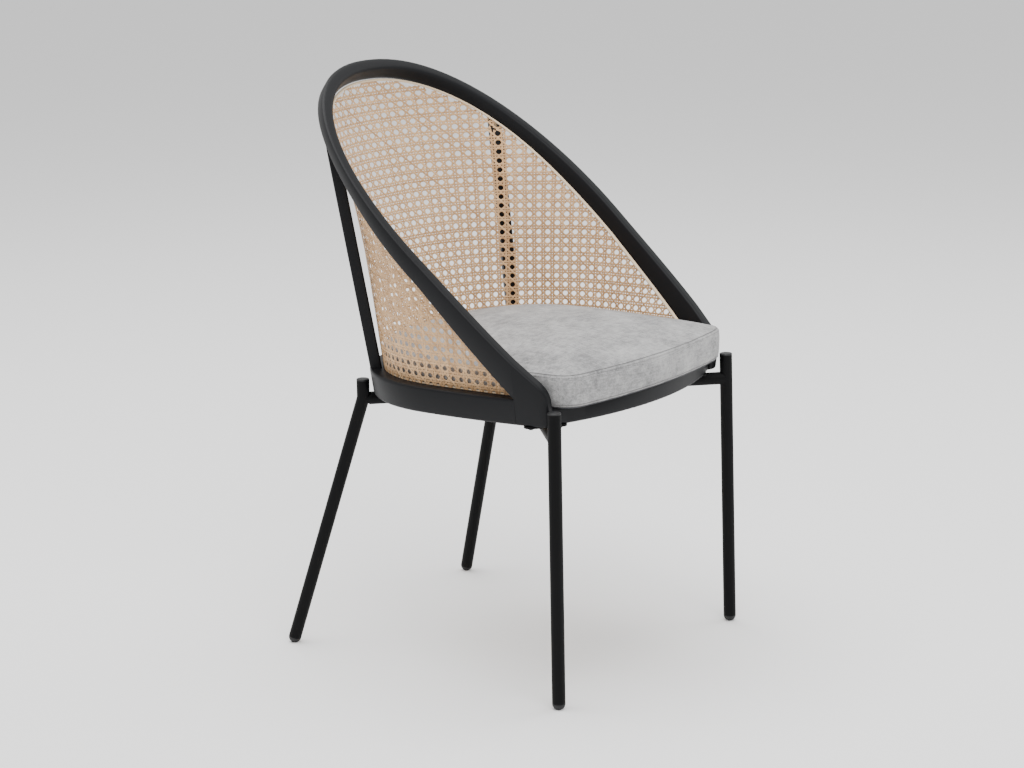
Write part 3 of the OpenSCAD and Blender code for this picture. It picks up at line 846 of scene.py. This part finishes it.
@dataclass
class Cushion:
    """The loose box cushion: a cover blown up over the foam by cloth simulation, seamed and stitched."""

    finishes: Finishes
    voxel: float = 5 * MM
    cloth: float = 3.2 * MM
    pressure: float = 5.0
    seam_hold: float = 0.55
    rounding: int = 8
    clearance: float = 1.2 * MM
    seam_reach: float = 5 * MM
    frames: int = 20
    most: float = 9 * MM
    seam_up: float = 44.5 * MM
    seam_r: float = 0.85 * MM
    stitch: float = 3.0 * MM
    stitch_pitch: float = 4.6 * MM
    stitch_drop: float = 3.2 * MM
    stitch_r: float = 0.3 * MM
    lower_seam_up: float = 3 * MM
    base_hold: float = 4 * MM
    side_share: float = 0.8
    softness: float = 0.5
    seam_points: int = 480
    stitch_points: int = 900
    stitch_steps: int = 4
    stitch_sides: int = 5
    seam_sides: int = 8

    def build(self, foam: bpy.types.Object) -> None:
        """Makes the cover and its seams.

        Args:
            foam: the CAD foam block that the cover fits over.
        """
        self.low, self.high = (Vector(corner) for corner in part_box("seat_cover"))
        cover = self._cover(foam)
        self._simulate(cover)
        self._finish_cover(cover, foam)
        tree = BVHTree.FromObject(cover, bpy.context.evaluated_depsgraph_get())
        for name, up in (("upper_seam", self.seam_up), ("lower_seam", self.lower_seam_up)):
            self._seam(name, self._ring(tree, self.low.z + up, self.seam_points))
        stitched = self.low.z + self.seam_up - self.stitch_drop
        self._stitches(self._ring(tree, stitched, self.stitch_points))

    def _cover(self, foam: bpy.types.Object) -> bpy.types.Object:
        """Makes an even closed mesh a little outside the foam.

        Args:
            foam: the CAD foam block.

        Returns:
            The cover before it is blown up.
        """
        cover = bpy.data.objects.new("cushion_cover", foam.data.copy())
        bpy.context.collection.objects.link(cover)
        grow = cover.modifiers.new("grow", "DISPLACE")
        grow.strength, grow.mid_level = self.cloth, 0.0
        remesh = cover.modifiers.new("even", "REMESH")
        remesh.mode, remesh.voxel_size = "VOXEL", self.voxel
        soften = cover.modifiers.new("soften", "SMOOTH")
        soften.factor, soften.iterations = self.softness, self.rounding
        self._apply(cover)
        return cover

    def _apply(self, piece: bpy.types.Object) -> None:
        """Replaces a piece's mesh with its evaluated one.

        Args:
            piece: the object.
        """
        graph = bpy.context.evaluated_depsgraph_get()
        mesh = bpy.data.meshes.new_from_object(piece.evaluated_get(graph))
        piece.modifiers.clear()
        piece.data = mesh

    def _simulate(self, cover: bpy.types.Object) -> None:
        """Blows the cover up, held at its base and drawn in by its seam.

        Args:
            cover: the object.
        """
        rest = np.array([v.co for v in cover.data.vertices])
        held = cover.vertex_groups.new(name="held")
        centre = (self.low + self.high) / 2
        for v in cover.data.vertices:
            near_base = v.co.z < self.low.z + self.base_hold
            off = (v.co.z - self.low.z - self.seam_up) / self.seam_reach
            if near_base:
                held.add([v.index], 1.0, "REPLACE")
            elif self._outer(v.co, centre):
                held.add([v.index], self.seam_hold * math.exp(-off * off), "REPLACE")
        cloth = cover.modifiers.new("cloth", "CLOTH")
        cloth.settings.use_pressure = True
        cloth.settings.uniform_pressure_force = self.pressure
        cloth.settings.effector_weights.gravity = 0.0
        cloth.settings.vertex_group_mass = held.name
        cloth.point_cache.frame_start, cloth.point_cache.frame_end = 1, self.frames
        for frame in range(1, self.frames + 1):
            bpy.context.scene.frame_set(frame)
        graph = bpy.context.evaluated_depsgraph_get()
        blown = np.array([v.co for v in cover.evaluated_get(graph).data.vertices])
        cover.modifiers.clear()
        bpy.context.scene.frame_set(1)
        move = blown - rest
        size = np.linalg.norm(move, axis=1, keepdims=True)
        move *= np.minimum(1, self.most / np.maximum(size, 1e-9))
        cover.data.vertices.foreach_set("co", (rest + move).ravel())
        LOG.info("cushion moved up to %.1f mm, kept under %.1f mm", size.max() / MM, self.most / MM)

    def _outer(self, point: Vector, centre: Vector) -> bool:
        """Tells whether a point is near the cushion's outline in plan."""
        return math.hypot((point.x - centre.x) / (self.high.x - centre.x),
                          (point.y - centre.y) / (self.high.y - centre.y)) > self.side_share

    def _finish_cover(self, cover: bpy.types.Object, foam: bpy.types.Object) -> None:
        """Args:
            cover: the object.
            foam: the block that it stays outside.
        """
        soften = cover.modifiers.new("soften", "SMOOTH")
        soften.factor, soften.iterations = self.softness, 2
        finer = cover.modifiers.new("finer", "SUBSURF")
        finer.levels = finer.render_levels = 1
        clear = cover.modifiers.new("clear", "SHRINKWRAP")
        clear.target, clear.wrap_mode, clear.offset = foam, "OUTSIDE", self.clearance
        self._apply(cover)
        cover.data.polygons.foreach_set("use_smooth", [True] * len(cover.data.polygons))
        self.finishes.dress(cover, "seat_fabric")
        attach(cover, "root")
        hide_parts("seat_cover")

    def _ring(self, tree: BVHTree, z: float, count: int) -> np.ndarray:
        """Finds points round the cover's side at one height.

        Args:
            tree: the cover.
            z: the height.
            count: how many points.

        Returns:
            The points.
        """
        centre = (self.low + self.high) / 2
        reach = (self.high - self.low).length
        points = []
        for i in range(count):
            angle = math.tau * i / count
            way = Vector((math.cos(angle), math.sin(angle), 0))
            hit = tree.ray_cast(Vector((centre.x, centre.y, z)) + way * reach, -way)
            if hit[0] is not None:
                points.append(hit[0])
        return np.array(points)

    def _seam(self, name: str, ring: np.ndarray) -> None:
        """Lays a thin sewn ridge round the cover."""
        self._declare(add_mesh(name, *self._sweep(ring, self.seam_r, True, self.seam_sides)))

    def _stitches(self, ring: np.ndarray) -> None:
        """Sews a row of short stitches just under the upper seam.

        Args:
            ring: the row's path round the cover.
        """
        steps = np.linalg.norm(np.diff(ring, axis=0, append=ring[:1]), axis=1)
        along = np.concatenate([[0], np.cumsum(steps)])
        closed = np.concatenate([ring, ring[:1]])
        points, faces = [], []
        for start in np.arange(0, along[-1] - self.stitch, self.stitch_pitch):
            at = np.linspace(start, start + self.stitch, self.stitch_steps)
            path = np.stack([np.interp(at, along, closed[:, k]) for k in range(3)], axis=1)
            p, f = self._sweep(path, self.stitch_r, False, self.stitch_sides)
            faces.append(f + sum(len(q) for q in points))
            points.append(p)
        self._declare(add_mesh("stitches", np.concatenate(points), np.concatenate(faces)))

    def _sweep(self, path: np.ndarray, radius: float, closed: bool,
               sides: int) -> tuple[np.ndarray, np.ndarray]:
        """Sweeps a round section along a near-level path.

        Args:
            path: its points.
            radius: the section's radius.
            closed: whether the path closes.
            sides: how many sides the section has.

        Returns:
            The vertices and faces.
        """
        n = len(path)
        ahead = np.roll(path, -1, axis=0) - np.roll(path, 1, axis=0)
        if not closed:
            ahead = np.gradient(path, axis=0)
        out = np.stack([ahead[:, 1], -ahead[:, 0], np.zeros(n)], axis=1)
        out /= np.linalg.norm(out, axis=1, keepdims=True)
        angles = np.arange(sides) * math.tau / sides
        rings = (path[:, None] + radius * (np.cos(angles)[None, :, None] * out[:, None]
                 + np.sin(angles)[None, :, None] * np.array([0, 0, 1.0])))
        i, k = np.meshgrid(np.arange(n if closed else n - 1), np.arange(sides), indexing="ij")
        j, nxt = (i + 1) % n, (k + 1) % sides
        quads = np.stack([i * sides + k, i * sides + nxt, j * sides + nxt, j * sides + k], axis=-1)
        return rings.reshape(-1, 3), quads.reshape(-1, 4)

    def _declare(self, piece: bpy.types.Object) -> None:
        """Dresses a sewn piece and ties it to the chair.

        Args:
            piece: the object.
        """
        self.finishes.dress(piece, "seam_thread")
        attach(piece, "root")


# ---------- studio ----------


@dataclass(frozen=True)
class Eye:
    """Where the camera stands, as an orbit round a point near the seat."""

    azimuth: float = math.radians(-54.102)
    elevation: float = math.radians(12.732)
    roll: float = math.radians(-0.797)
    distance: float = 3.5651
    target: Triple = (0.0, 0.0035, 0.399)
    lens: float = 83.64
    shift: tuple[float, float] = (0.00437, -0.0056)

    def place(self) -> None:
        """Makes the camera and sets it as the scene's."""
        a, e, k = self.azimuth, self.elevation, self.roll
        back = Vector((math.sin(a) * math.cos(e), -math.cos(a) * math.cos(e), math.sin(e)))
        right = Vector((math.cos(a), math.sin(a), 0))
        up = back.cross(right)
        turned = right * math.cos(k) + up * math.sin(k)
        upright = up * math.cos(k) - right * math.sin(k)
        data = bpy.data.cameras.new("eye")
        data.lens = self.lens
        data.shift_x, data.shift_y = self.shift
        camera = bpy.data.objects.new("eye", data)
        bpy.context.collection.objects.link(camera)
        axes = Matrix((turned, upright, back)).transposed().to_4x4()
        camera.matrix_world = Matrix.Translation(Vector(self.target) + back * self.distance) @ axes
        bpy.context.scene.camera = camera


@dataclass(frozen=True)
class Lamp:
    """A soft area light."""

    name: str
    at: Triple
    size: float
    power: float


@dataclass
class Studio:
    """A pale floor under even white light."""

    floor_half: float = 30.0
    floor_tone: float = 0.97
    sky: float = 0.95
    aim: Triple = (0.0, 0.0, 0.45)
    lamps: tuple[Lamp, ...] = (
        Lamp("key", (-1.6, -2.2, 3.4), 2.2, 75.0),
        Lamp("fill", (2.8, -1.6, 2.2), 2.4, 22.0),
        Lamp("top", (0.0, 0.6, 4.2), 4.0, 190.0),
    )

    def build(self) -> None:
        """Makes the floor, the lamps and the sky."""
        h = self.floor_half
        floor = add_mesh("floor", [(-h, -h, 0), (h, -h, 0), (h, h, 0), (-h, h, 0)], [(0, 1, 2, 3)])
        paper = Shade("paper")
        paper.set(Base_Color=(self.floor_tone,) * 3 + (1.0,), Roughness=0.9)
        floor.data.materials.append(paper.material)
        world = bpy.data.worlds.new("studio")
        bpy.context.scene.world = world
        world.use_nodes = True
        world.node_tree.nodes["Background"].inputs["Color"].default_value = (1, 1, 1, 1)
        world.node_tree.nodes["Background"].inputs["Strength"].default_value = self.sky
        for lamp in self.lamps:
            self._hang(lamp)

    def _hang(self, lamp: Lamp) -> None:
        """Hangs one lamp, aimed at the chair.

        Args:
            lamp: what to hang.
        """
        data = bpy.data.lights.new(lamp.name, "AREA")
        data.size, data.energy = lamp.size, lamp.power
        light = bpy.data.objects.new(lamp.name, data)
        bpy.context.collection.objects.link(light)
        light.location = lamp.at
        light.rotation_euler = (Vector(self.aim) - Vector(lamp.at)).to_track_quat("-Z", "Y").to_euler()


def main() -> None:
    """Builds the chair's looks in order."""
    logging.basicConfig(level=logging.INFO, format="%(name)s: %(message)s")
    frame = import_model()
    finishes = Finishes()
    RigidFrame(frame, finishes).dress()
    LOG.info("frame dressed")
    CaneWeave(CaneSurface(frame["nodes"]["cane_panel"]), finishes).build()
    LOG.info("cane woven")
    Cushion(finishes).build(frame["nodes"]["seat_foam"])
    LOG.info("cushion made")
    Studio().build()
    Eye().place()


if __name__ == "__main__":
    main()
